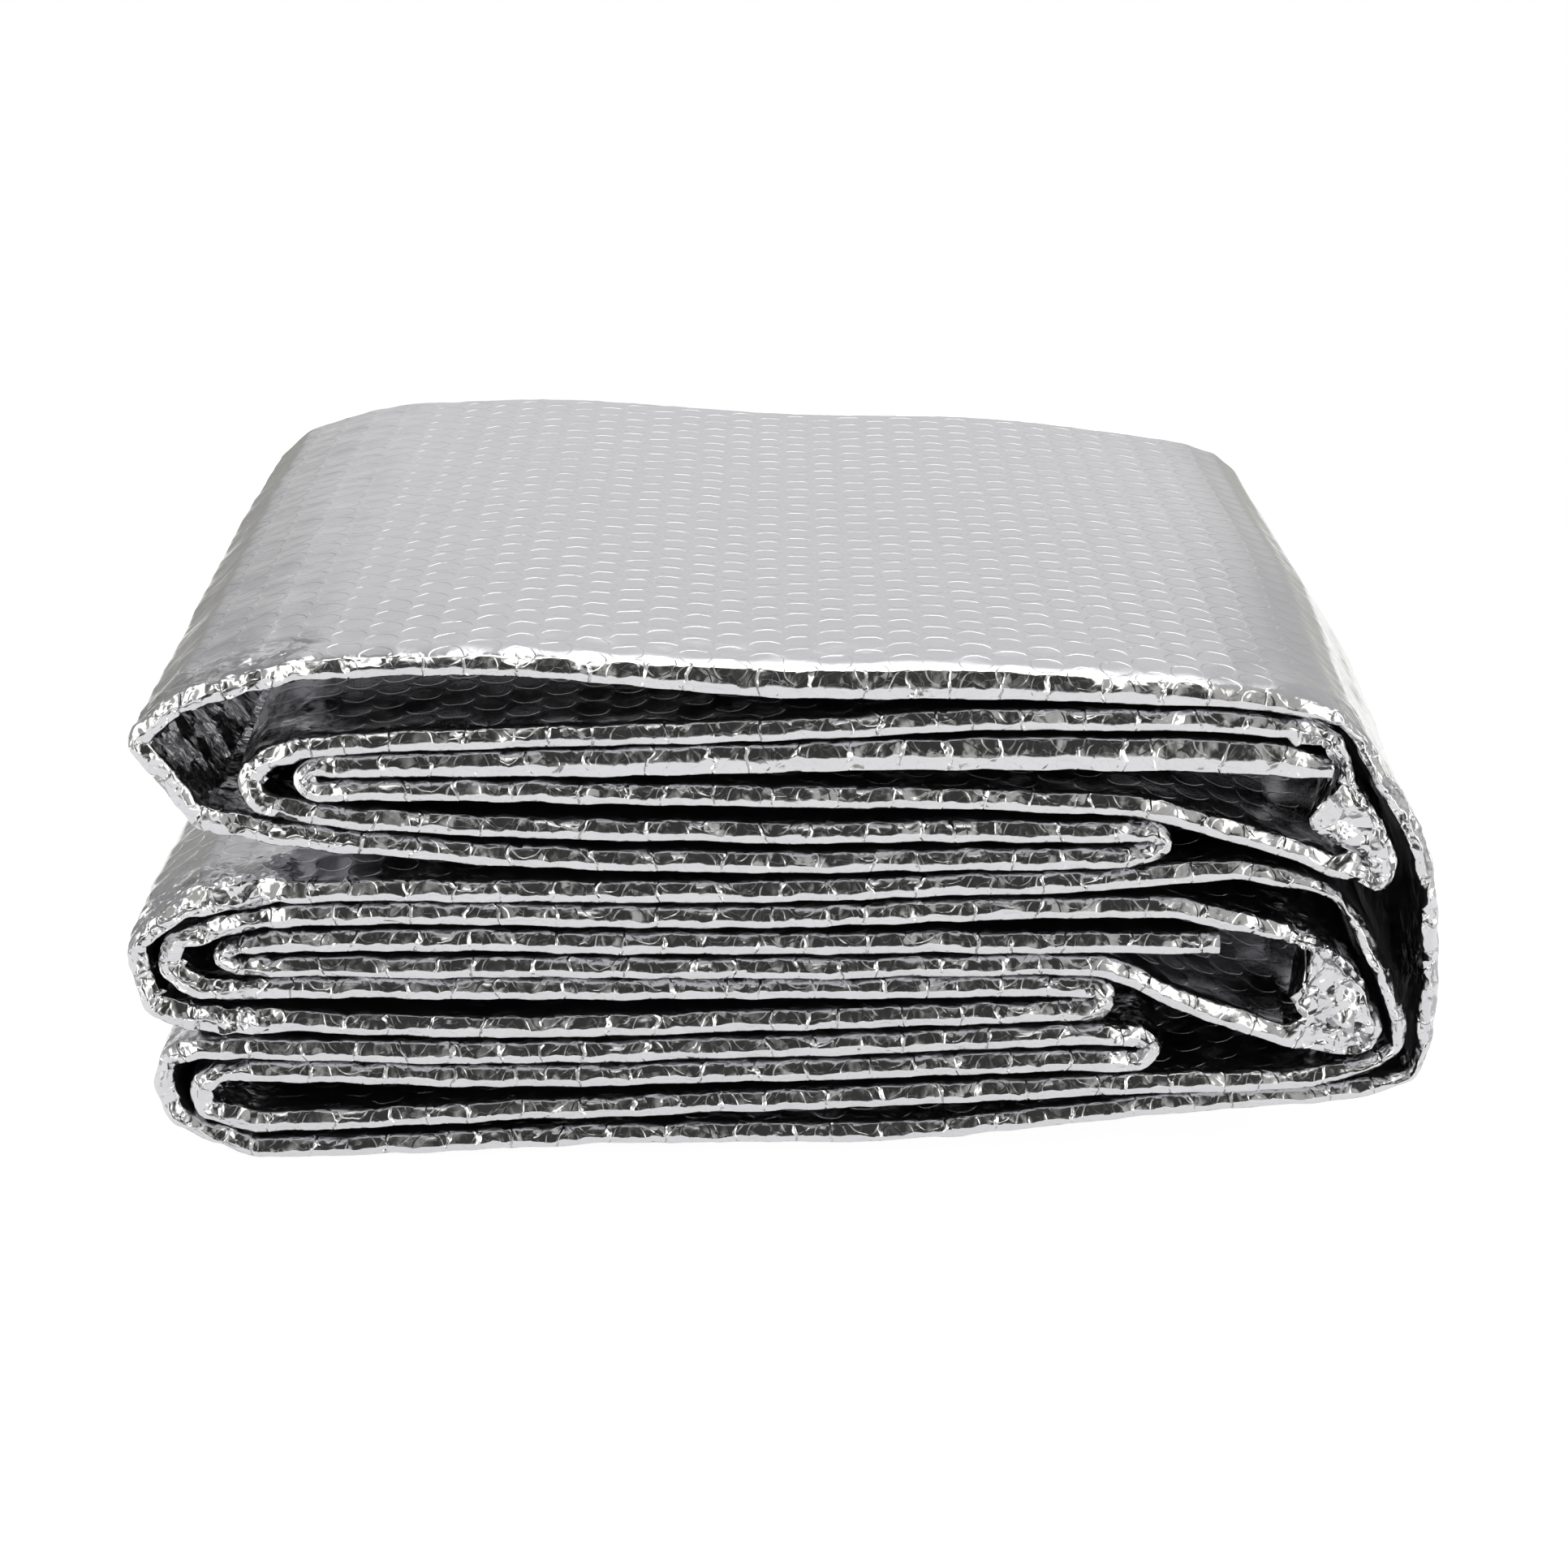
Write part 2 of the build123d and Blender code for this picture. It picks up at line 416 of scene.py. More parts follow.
SPINE_HANDLING = Handling(0.5 * MM, 0.3 * MM, 1.0 * MM, 0.6, 0.3 * MM, 0.3 * MM)
HANDLED = (                              # how a name starts, and its handling; the first that fits counts
    ("fold_right_02_04", Handling(1.5 * MM, 1.0 * MM, 1.8 * MM, 1.0, filling=22 * MM)),
    ("fold_right_08_10", Handling(1.5 * MM, 1.0 * MM, 1.8 * MM, 1.0, filling=-18 * MM)),
    ("fold_right", Handling(0.5 * MM, 0.3 * MM, 1.0 * MM, 0.6, 1.0 * MM)),
    ("fold_left_01_06", Handling(0.6 * MM, 0.3 * MM, 1.0 * MM, 0.5, 1.2 * MM, hollow=-1.0)),
    ("fold_left_07_12", Handling(0.9 * MM, 0.4 * MM, 1.2 * MM, 0.6, 3.0 * MM)),
    ("fold_left", Handling(0.6 * MM, 0.3 * MM, 1.0 * MM, 0.5, 1.2 * MM)),
    ("outer_spine", SPINE_HANDLING),
    ("inner_spine", SPINE_HANDLING),
    ("section_03", Handling(spring=2.4 * MM)),
    ("section", Handling()),
)


def handling_of(name: str) -> Handling:
    """Handling of the stretch with the given name."""
    return next(handling for start, handling in HANDLED if name.startswith(start))


@dataclass
class BlanketPiece:
    """One stretch of the doubled sheet, from one place on its route to another."""

    name: str
    start: float
    end: float
    bodies: tuple[str, ...]
    replaced: tuple[str, ...]
    left_face: Grade = Grade.MOUTH       # the face to the left of the route's direction
    right_face: Grade = Grade.MOUTH
    step: float = 1.25 * MM

    def flat_grid(self) -> Mesh:
        """Lay the piece out flat: a bmesh grid of u, along the sheet, and v, across it.

        Returns:
            A mesh whose x and y are the flat coordinates in metres.
        """
        across = np.concatenate([-self.right_face.stations()[:0:-1], self.left_face.stations()])
        columns = max(4, int(math.ceil((self.end - self.start) / self.step)))
        mesh = bmesh.new()
        bmesh.ops.create_grid(mesh, x_segments=columns, y_segments=len(across) - 1, size=0.5)
        for vertex in mesh.verts:
            line = int(round((vertex.co.y + 0.5) * (len(across) - 1)))
            vertex.co.x = self.start + (vertex.co.x + 0.5) * (self.end - self.start)
            vertex.co.y = across[line]
        data = bpy.data.meshes.new(self.name)
        mesh.to_mesh(data)
        mesh.free()
        return data


@dataclass(frozen=True)
class Spots:
    """Points of the flat sheet, and how each one lies in the pile. Lengths are in metres."""

    along: ndarray                       # flat coordinate along the sheet
    across: ndarray                      # flat coordinate across it, from the front crease
    x: ndarray                           # place across the pile, in the middle of the band
    up: ndarray                          # upward part of the band's normal

    @cached_property
    def depth(self) -> ndarray:
        """Distance from the front crease."""
        return np.abs(self.across)

    @cached_property
    def side(self) -> ndarray:
        """1 or -1, the side of the band's normal that the ply is on."""
        return np.where(self.across < 0, -1.0, 1.0)

    @cached_property
    def mouth(self) -> ndarray:
        """1 at the front crease, 0 behind the mouth of the pile."""
        return 1.0 - smoothstep(10 * MM, 70 * MM, self.depth)

    @cached_property
    def nose(self) -> ndarray:
        """1 at the front crease, 0 where the face begins."""
        return 1.0 - smoothstep(2 * MM, 12 * MM, self.depth)


@dataclass(frozen=True)
class Slump:
    """How the pile as a whole has settled under its own weight. Lengths are in metres."""

    sway: float = 0.8 * MM               # how far the open edges wave up and down
    sink: float = 0.024                  # share of its height that the pile has lost at the back
    corner_sink: float = 0.026           # how much more it has lost at the back right corner
    bulge: float = 7.0 * MM              # how far each side pushes out, behind the front
    low_bulge: float = 0.15              # share of that left near the ground, at the right
    lowest: float = 0.02 * MM

    def waved(self, x: ndarray, z: ndarray, mouth: ndarray) -> ndarray:
        """Let the open edges wave, more so above the ground.

        Args:
            x: Places across the pile.
            z: Heights.
            mouth: 1 at the front crease, 0 behind the mouth of the pile.

        Returns:
            The new heights.
        """
        wave = Crinkle(41).wave(x, z, 95 * MM) + 0.5 * Crinkle(42).wave(x, z * 0.4, 41 * MM)
        return z + self.sway * wave * mouth * smoothstep(3 * MM, 22 * MM, z)

    def settled(self, x: ndarray, z: ndarray, depth: ndarray) -> tuple[ndarray, ndarray]:
        """Let the back sink and the sides bulge.

        Args:
            x: Places across the pile.
            z: Heights.
            depth: Distances from the front crease.

        Returns:
            The new places and heights.
        """
        lost = self.sink * smoothstep(40 * MM, 336 * MM, depth)
        corner = smoothstep(60 * MM, 150 * MM, x) * smoothstep(120 * MM, 336 * MM, depth)
        lost = lost + self.corner_sink * corner
        right = smoothstep(110 * MM, 168 * MM, x) * smoothstep(25 * MM, 190 * MM, depth)
        right = right * (self.low_bulge + (1 - self.low_bulge) * smoothstep(45 * MM, 110 * MM, z))
        left = 1 - smoothstep(-172 * MM, -110 * MM, x)
        left = left * smoothstep(30 * MM, 300 * MM, depth) * smoothstep(95 * MM, 130 * MM, z)
        return x + self.bulge * (right - left), np.maximum(z * (1 - lost), self.lowest)


@dataclass
class Folder:
    """Doubles a flat piece round the front crease and folds it along the route. Lengths are in metres."""

    route: FoldRoute
    laminate: Laminate
    front: float                          # Y of the front crease
    ground_section: tuple[float, float]   # the flat stretch that lies on the ground
    top_section: tuple[float, float]      # the stretch that lies on top of the pile
    hinges: list[float]                   # the creases that open, where neighbours must stay clear
    slump: Slump = Slump()
    edge_lift: float = 5.0 * MM           # how far the lowest stretch lifts at its front edge
    outward: float = 0.45 * MM            # how far the crease springs open where nothing lies beside it
    pinch: float = 0.9 * MM               # how much thinner each face gets at a crease that opens
    droop: float = 0.45 * MM              # how far the front crease lies under the middle of the band
    jag: float = 0.50 * MM                # how far it jags up and down
    belly: float = 0.28 * MM              # how far an upper ply swells out in front
    blending: float = 16 * MM             # length over which one stretch's handling passes into the next's

    def __post_init__(self) -> None:
        """Find the handling and the free room on both sides all along the route."""
        places = self.route.places
        self.fields = {key: np.full(places.shape, value) for key, value in vars(Handling()).items()}
        for name, (start, end) in self.route.spans.items():
            inside = (places >= start) & (places <= end)
            for key, value in vars(handling_of(name)).items():
                self.fields[key][inside] = value
        for key, values in self.fields.items():
            self.fields[key] = self._evened(values)
        to_hinge = np.abs(places[:, None] - np.array(self.hinges)[None, :]).min(axis=1)
        clear = smoothstep(14 * MM, 55 * MM, to_hinge)
        for key, least in (("closing", 0.0), ("spring", 0.3), ("crumple", 0.4), ("buckle", 0.4)):
            self.fields[key] = self.fields[key] * (least + (1 - least) * clear)
        self.fields["pinch"] = self.pinch * (1 - smoothstep(3 * MM, 16 * MM, to_hinge))
        self.room = {side: self._evened(self._room(side)) for side in (-1.0, 1.0)}

    def _evened(self, values: ndarray) -> ndarray:
        """Values along the route, averaged over the blending length."""
        weights = np.hanning(int(self.blending / self.route.sample) | 1)
        weights /= weights.sum()
        return np.convolve(np.pad(values, len(weights) // 2, mode="edge"), weights, mode="valid")

    def _room(self, side: float) -> ndarray:
        """How far off the neighbour on one side is.

        Args:
            side: 1 for the side of the route's normal, -1 for the other one.

        Returns:
            The free gap at each of the route's places: twice the outward reach where nothing faces it.
        """
        every, window = 4, 2
        places, line = self.route.places[::every], self.route.line[:, ::every]
        normal = side * np.stack([-self.route.tangent[1], self.route.tangent[0]])[:, ::every]
        gaps = np.full(places.shape, 2 * self.outward)
        for index, place in enumerate(places):
            apart = line - line[:, index:index + 1]
            ahead = normal[0, index] * apart[0] + normal[1, index] * apart[1]
            aside = np.abs(normal[1, index] * apart[0] - normal[0, index] * apart[1])
            facing = (aside < 2 * MM) & (ahead > 1 * MM) & (np.abs(places - place) > 9 * MM)
            if facing.any():
                gaps[index] = ahead[facing].min() - 2 * self.laminate.half_band
        padded = np.pad(gaps, window, mode="edge")
        gaps = np.min([padded[shift:shift + len(gaps)] for shift in range(2 * window + 1)], axis=0)
        return np.interp(self.route.places, places, np.clip(gaps, 0.0, 30 * MM))

    def _field(self, key: str, along: ndarray) -> ndarray:
        """One of the fields of the route, at flat coordinates."""
        return np.interp(along, self.route.places, self.fields[key])

    def fold(self, along: ndarray, across: ndarray) -> ndarray:
        """Places of the outer face of a stretch of the sheet.

        Args:
            along: Flat coordinates along the sheet.
            across: Flat coordinates across it.

        Returns:
            An array of points, one row each.
        """
        point, tangent = self.route.at(along)
        normal = np.stack([-tangent[1], tangent[0]])
        spots = Spots(along, across, point[0], normal[1])
        inward, offset = self._nose(spots)
        inward = inward + spots.nose * self._kink(spots)
        relief = spots.side * self._relief(spots) * smoothstep(0.0, 1.5 * MM, spots.depth)
        offset = offset + self._buckle(spots) + relief
        x = point[0] + normal[0] * offset
        z = self.slump.waved(x, point[1] + normal[1] * offset, spots.mouth) + self._ground_lift(spots)
        x, z = self.slump.settled(x, z, spots.depth)
        return np.stack([x, self.front + inward, z], axis=1)

    def crackle(self, along: ndarray, across: ndarray) -> ndarray:
        """How thick the small sharp creases lie: on folds, side walls and the front crease.

        Args:
            along: Flat coordinates along the sheet.
            across: Flat coordinates across it.

        Returns:
            An array from 0 to 1.
        """
        depth, side = np.abs(across), np.where(across < 0, -1.0, 1.0)
        hollow = np.maximum(self._field("hollow", along) * side, 0.0)
        mouth = 1.0 - smoothstep(0.0, 1.0, (depth - 8 * MM) / (26 * MM + 110 * MM * hollow))
        nose = 1.0 - smoothstep(3 * MM, 9 * MM, depth)
        return np.maximum(self._field("crackle", along) * (0.03 + 0.97 * mouth), 0.17 * nose)

    def _on_top(self, spots: Spots) -> ndarray:
        """1 on the upper ply of the top section, 0 elsewhere."""
        low, high = self.top_section
        inside = smoothstep(low - 60 * MM, low + 40 * MM, spots.along)
        inside = inside * (1 - smoothstep(high - 30 * MM, high + 30 * MM, spots.along))
        return inside * (spots.side * spots.up > 0)

    def _kink(self, spots: Spots) -> ndarray:
        """How far the front crease wanders inwards, in metres."""
        place = (spots.along, spots.depth)
        kink = Crinkle(11).facets(*place, 13 * MM) + 0.7 * Crinkle(12).wave(*place, 38 * MM)
        return self._field("kink", spots.along) * kink

    def _buckle(self, spots: Spots) -> ndarray:
        """How far the doubled band buckles along its normal, in metres."""
        place = (spots.along, spots.depth)
        waves = Crinkle(21).facets(*place, 20 * MM) + Crinkle(22).wave(*place, 26 * MM)
        edge = spots.mouth * 0.3 * MM * Crinkle(23).facets(*place, 15 * MM)
        return self._field("buckle", spots.along) * waves + edge

    def _relief(self, spots: Spots) -> ndarray:
        """Relief of one face in metres, outwards: its bubbles, and the facets that handling left."""
        place = (spots.along, spots.across)
        rough = self._field("crumple", spots.along) * (0.15 + 0.85 * spots.mouth) + spots.nose * 0.15 * MM
        facets = Crinkle(31).facets(*place, 8.5 * MM) + 0.6 * Crinkle(32).facets(*place, 4.2 * MM)
        return self.laminate.dishes(*place) - rough * (1.0 + facets) * 0.5

    def _spread(self, spots: Spots) -> ndarray:
        """How far a ply stands off the pressed band: sprung open in front, and closed up behind.

        Args:
            spots: The points.

        Returns:
            The distances in metres.
        """
        (low, high), along, depth = self.top_section, spots.along, spots.depth
        rooms = (np.interp(along, self.route.places, self.room[side]) for side in (1.0, -1.0))
        gap = np.where(spots.side > 0, *rooms)
        room = np.maximum(0.5 * gap - 0.2 * MM, 0.0)
        under_top = smoothstep(low + 60 * MM, low + 120 * MM, along)
        under_top = under_top * (1 - smoothstep(high - 60 * MM, high, along)) * (spots.side * spots.up < 0)
        sprung = np.minimum(room, self._field("spring", along) * (1 + 1.5 * under_top))
        filled = np.minimum(0.95 * gap - 1.0 * MM, self._field("filling", along) * spots.side)
        in_front = np.maximum(sprung, filled)
        behind = np.minimum(room, self._field("closing", along)) * (1 - smoothstep(120 * MM, 300 * MM, depth))
        loose = self._on_top(spots) * (0.5 * MM + 2.0 * MM * np.exp(-((spots.x - 28 * MM) / (62 * MM)) ** 2))
        spread = in_front + (behind - in_front) * smoothstep(9 * MM, 46 * MM, depth)
        return spread + loose * (1 - smoothstep(25 * MM, 150 * MM, depth))

    def _nose(self, spots: Spots) -> tuple[ndarray, ndarray]:
        """Cross-section of the doubled sheet near its front crease.

        Args:
            spots: The points.

        Returns:
            How far inwards from the front, and how far from the middle of the band along its normal.
        """
        along, depth, side = spots.along, spots.depth, spots.side
        upper = (side * spots.up + 1.0) / 2
        shape = NoseShape.UNDER.value.mixed(NoseShape.UPPER.value, upper)
        shape = shape.mixed(NoseShape.TOP.value, self._on_top(spots))
        lean, shoulder, roll = shape.lean, shape.shoulder, shape.roll
        edge = np.zeros(along.shape)
        jag = Crinkle(3).facets(along, edge, 8 * MM) + 0.9 * Crinkle(4).facets(along, edge, 3.6 * MM)
        start = side * (self.jag * jag - self.droop * spots.up)
        face = self.laminate.half_band + self._spread(spots) - self._field("pinch", along)
        rise = face - shoulder - start
        share = shoulder / rise
        facet_length = np.hypot(lean, rise)
        bend_length = 0.92 * (facet_length * share + roll)
        first = np.clip(depth / facet_length, 0.0, 1.0)
        second = np.clip((depth - facet_length) / bend_length, 0.0, 1.0)
        rest = np.maximum(depth - facet_length - bend_length, 0.0)
        belly = 4 * first * (1 - first) * self.belly * upper
        bend_in = 2 * second * (1 - second) * lean * share + second ** 2 * (lean * share + roll)
        bend_up = (2 * second * (1 - second) + second ** 2) * shoulder
        return lean * first + bend_in + rest - belly, side * (start + rise * first + bend_up)

    def _ground_lift(self, spots: Spots) -> ndarray:
        """How far the front edge of the lowest section curls up off the ground, in metres."""
        low, high = self.ground_section
        inside = smoothstep(low - 30 * MM, low + 60 * MM, spots.along)
        inside = inside * (1 - smoothstep(high - 130 * MM, high, spots.along))
        return self.edge_lift * inside * (1 - smoothstep(0.0, 95 * MM, spots.depth))


# ---- finishes ----


def linear(hex_colour: str) -> tuple[float, float, float, float]:
    """Turn an sRGB hex colour into the linear colour that shaders take.

    Args:
        hex_colour: Six hex digits with a leading #.

    Returns:
        Red, green, blue and alpha.
    """
    parts = [int(hex_colour[i:i + 2], 16) / 255 for i in (1, 3, 5)]
    return tuple(p / 12.92 if p <= 0.04045 else ((p + 0.055) / 1.055) ** 2.4 for p in parts) + (1.0,)


def add_node(tree: NodeTree, kind: str, settings: dict | None = None, inputs: dict | None = None) -> Node:
    """Add one shader node with its settings, constants and links.

    Args:
        tree: The node tree.
        kind: The node's type name.
        settings: Attributes to set on the node.
        inputs: Socket name or number to a constant, or to an output socket to link from.

    Returns:
        The new node.
    """
    node = tree.nodes.new(kind)
    for key, value in (settings or {}).items():
        setattr(node, key, value)
    for key, value in (inputs or {}).items():
        if isinstance(value, NodeSocket):
            tree.links.new(value, node.inputs[key])
        else:
            node.inputs[key].default_value = value
    return node


def number(tree: NodeTree, operation: str, *values: object) -> NodeSocket:
    """One step of arithmetic on sockets or constants."""
    return add_node(tree, "ShaderNodeMath", {"operation": operation}, dict(enumerate(values))).outputs[0]


def vector(tree: NodeTree, operation: str, *values: object) -> NodeSocket:
    """One step of vector arithmetic; LENGTH and DOT_PRODUCT give a number, SCALE takes one."""
    names = (0, "Scale") if operation == "SCALE" else (0, 1)
    node = add_node(tree, "ShaderNodeVectorMath", {"operation": operation}, dict(zip(names, values)))
    return node.outputs["Value" if operation in ("LENGTH", "DOT_PRODUCT") else "Vector"]


def noise(tree: NodeTree, place: NodeSocket, scale: float, detail: float) -> Node:
    """Cloudy noise: its first output is a number, and Color holds three of them."""
    return add_node(tree, "ShaderNodeTexNoise", None, {"Vector": place, "Scale": scale, "Detail": detail})


def ranged(tree: NodeTree, value: NodeSocket, start: float, end: float,
           low: float = 0.0, high: float = 1.0, soft: bool = False) -> NodeSocket:
    """A value taken from one range to another one, and held at the ends.

    Args:
        tree: The node tree.
        value: The value.
        start: Where the result is low.
        end: Where the result is high.
        low: The result at the start.
        high: The result at the end.
        soft: Whether it eases in and out.

    Returns:
        The result.
    """
    return add_node(tree, "ShaderNodeMapRange", {"interpolation_type": "SMOOTHSTEP" if soft else "LINEAR"},
                    {"Value": value, "From Min": start, "From Max": end, "To Min": low,
                     "To Max": high}).outputs[0]


@dataclass(frozen=True)
class MetallisedFoil:
    """Vacuum-metallised film over air bubbles: a bright, slightly soft mirror, creased by handling.

    Its patterns are laid out on the flat sheet, in millimetres.
    """

    name: str = "metallised_foil"
    colour: str = "#D2D2D5"
    shade: str = "#C8C8CB"
    roughness: tuple[float, float] = (0.11, 0.20)
    rim: tuple[float, float, float] = (0.45, 0.1, 0.09)     # reach into the bubble, reach outwards, height
    facets: tuple = ((8.5, 1.0), (3.6, 0.7))                # size and steepness of each set of crumples
    pinch: tuple[float, float, float] = (15.0, 0.6, 0.42)   # spacing, half width and height at the front edge
    laminate: Laminate = Laminate()

    def build(self) -> Material:
        """Build the foil material.

        Returns:
            The material.
        """
        material = bpy.data.materials.new(self.name)
        material.use_nodes = True
        tree = material.node_tree
        tree.nodes.clear()
        flat = add_node(tree, "ShaderNodeUVMap", {"uv_map": LAMINATE_MAP}).outputs[0]
        place = vector(tree, "SCALE", flat, 1 / MM)
        height = number(tree, "ADD", self._bubble_rims(tree, place), self._creases(tree, place))
        height = number(tree, "ADD", height, self._pinches(tree, place))
        bump = add_node(tree, "ShaderNodeBump", None, {"Strength": 1.0, "Distance": MM, "Height": height})
        patches = noise(tree, place, 0.04, 3.0).outputs[0]
        tint = add_node(tree, "ShaderNodeMix", {"data_type": "RGBA"},
                        {0: patches, 6: linear(self.colour), 7: linear(self.shade)})
        gloss = ranged(tree, patches, 0.0, 1.0, *self.roughness)
        shader = add_node(tree, "ShaderNodeBsdfPrincipled", None,
                          {"Base Color": tint.outputs[2], "Metallic": 1.0, "Roughness": gloss,
                           "Normal": bump.outputs[0]})
        add_node(tree, "ShaderNodeOutputMaterial", None, {"Surface": shader.outputs[0]})
        return material

    def _bubble_rims(self, tree: NodeTree, place: NodeSocket) -> NodeSocket:
        """Height of the film round each bubble: a short step up at its rim, stronger in some patches.

        Args:
            tree: The node tree.
            place: Flat coordinates.

        Returns:
            The height.
        """
        width, pitch = 2 * self.laminate.bubble_row / MM, self.laminate.bubble_pitch / MM
        wobble = vector(tree, "SUBTRACT", noise(tree, place, 0.12, 2.0).outputs["Color"], (0.5, 0.5, 0.5))
        drawn = vector(tree, "ADD", place, vector(tree, "SCALE", wobble, 2.2))
        cells = vector(tree, "DIVIDE", drawn, (width, pitch, 1.0))
        distances = []
        for shift in (0.0, 0.5):
            part = vector(tree, "FRACTION", vector(tree, "ADD", cells, (shift, shift, 0.0)))
            local = vector(tree, "SUBTRACT", part, (0.5, 0.5, 0.0))
            distances.append(vector(tree, "LENGTH", vector(tree, "MULTIPLY", local, (width, pitch, 0.0))))
        nearest = number(tree, "MINIMUM", *distances)
        radius, (inside, outside, height) = self.laminate.bubble_radius / MM, self.rim
        step = ranged(tree, nearest, radius - inside, radius + outside, high=height, soft=True)
        patchy = ranged(tree, noise(tree, place, 0.16, 2.0).outputs[0], 0.32, 0.58, 0.55)
        return number(tree, "MULTIPLY", step, patchy)

    def _creases(self, tree: NodeTree, place: NodeSocket) -> NodeSocket:
        """Height of the handling creases: faint all over the foil, flat sharp facets where it was crumpled.

        Args:
            tree: The node tree.
            place: Flat coordinates.

        Returns:
            The height.
        """
        crackle = add_node(tree, "ShaderNodeAttribute", {"attribute_name": CRACKLE_MAP}).outputs["Fac"]
        faint = number(tree, "MULTIPLY", noise(tree, place, 0.45, 2.0).outputs[0], 0.035)
        drift = vector(tree, "SCALE", noise(tree, place, 0.25, 1.0).outputs["Color"], 3.0)
        bent = vector(tree, "ADD", place, drift)
        planes = []
        for size, steep in self.facets:
            cells = add_node(tree, "ShaderNodeTexVoronoi", {"voronoi_dimensions": "2D", "feature": "F1"},
                             {"Vector": bent, "Scale": 1 / size, "Randomness": 1.0})
            local = vector(tree, "SUBTRACT", bent, cells.outputs["Position"])
            lean = vector(tree, "SUBTRACT", cells.outputs["Color"], (0.5, 0.5, 0.5))
            planes.append(vector(tree, "DOT_PRODUCT", local, vector(tree, "SCALE", lean, steep)))
        return number(tree, "MULTIPLY_ADD", number(tree, "ADD", *planes), crackle, faint)

    def _pinches(self, tree: NodeTree, place: NodeSocket) -> NodeSocket:
        """Height of the sharp creases that cross the front edge, where the doubled sheet buckles.

        Args:
            tree: The node tree.
            place: Flat coordinates.

        Returns:
            The height.
        """
        spacing, half_width, height = self.pinch
        split = add_node(tree, "ShaderNodeSeparateXYZ", None, {0: place})
        near = ranged(tree, number(tree, "ABSOLUTE", split.outputs["Y"]), 3.0, 8.0, 1.0, 0.0, soft=True)
        number_along = number(tree, "MULTIPLY_ADD", noise(tree, place, 0.11, 2.0).outputs[0], 0.55,
                              number(tree, "MULTIPLY", split.outputs["X"], 1 / spacing))
        lines = add_node(tree, "ShaderNodeTexVoronoi",
                         {"voronoi_dimensions": "1D", "feature": "DISTANCE_TO_EDGE"},
                         {"W": number_along, "Scale": 1.0})
        groove = ranged(tree, lines.outputs["Distance"], 0.0, half_width / spacing, height, 0.0)
        shown = ranged(tree, noise(tree, place, 0.07, 1.0).outputs[0], 0.36, 0.52)
        return number(tree, "MULTIPLY", groove, number(tree, "MULTIPLY", near, shown))


@dataclass(frozen=True)
class BubbleFilm:
    """Extruded polyethylene bubble film, seen only at its cut edges: milky and soft."""

    name: str = "polyethylene_bubble_film"
    colour: str = "#C9CDD0"
    shade: str = "#8E9295"
    roughness: float = 0.45

    def build(self) -> Material:
        """Build the film material.

        Returns:
            The material.
        """
        material = bpy.data.materials.new(self.name)
        material.use_nodes = True
        tree = material.node_tree
        shader = tree.nodes["Principled BSDF"]
        place = add_node(tree, "ShaderNodeTexCoord").outputs["Object"]
        grain = noise(tree, place, 700.0, 2.0).outputs[0]
        bump = add_node(tree, "ShaderNodeBump", None,
                        {"Strength": 0.6, "Distance": 0.2 * MM, "Height": grain})
        tint = add_node(tree, "ShaderNodeMix", {"data_type": "RGBA"},
                        {0: grain, 6: linear(self.colour), 7: linear(self.shade)})
        tree.links.new(tint.outputs[2], shader.inputs["Base Color"])
        tree.links.new(bump.outputs[0], shader.inputs["Normal"])
        shader.inputs["Roughness"].default_value = self.roughness
        shader.inputs["IOR"].default_value = 1.51
        return material


# ---- the pile ----


SHEET_ORDER = (
    "section_03", "fold_left_03_04", "section_04", "fold_right_02_04", "section_02", "fold_left_02_05",
    "section_05", "fold_right_05_06", "section_06", "fold_left_01_06", "section_01", "outer_spine",
    "section_16", "fold_left_13_16", "section_13", "fold_right_13_14", "section_14", "fold_left_14_15",
    "section_15", "inner_spine", "section_07", "fold_left_07_12", "section_12", "fold_right_11_12",
    "section_11", "fold_left_08_11", "section_08", "fold_right_08_10", "section_10", "fold_left_09_10",
    "section_09",
)
SHOWN_LEFT = ("section_01", "fold_left_01_06", "outer_spine")   # stretches whose left face shows far back
SHOWN_RIGHT = ("fold_left_07_12",)


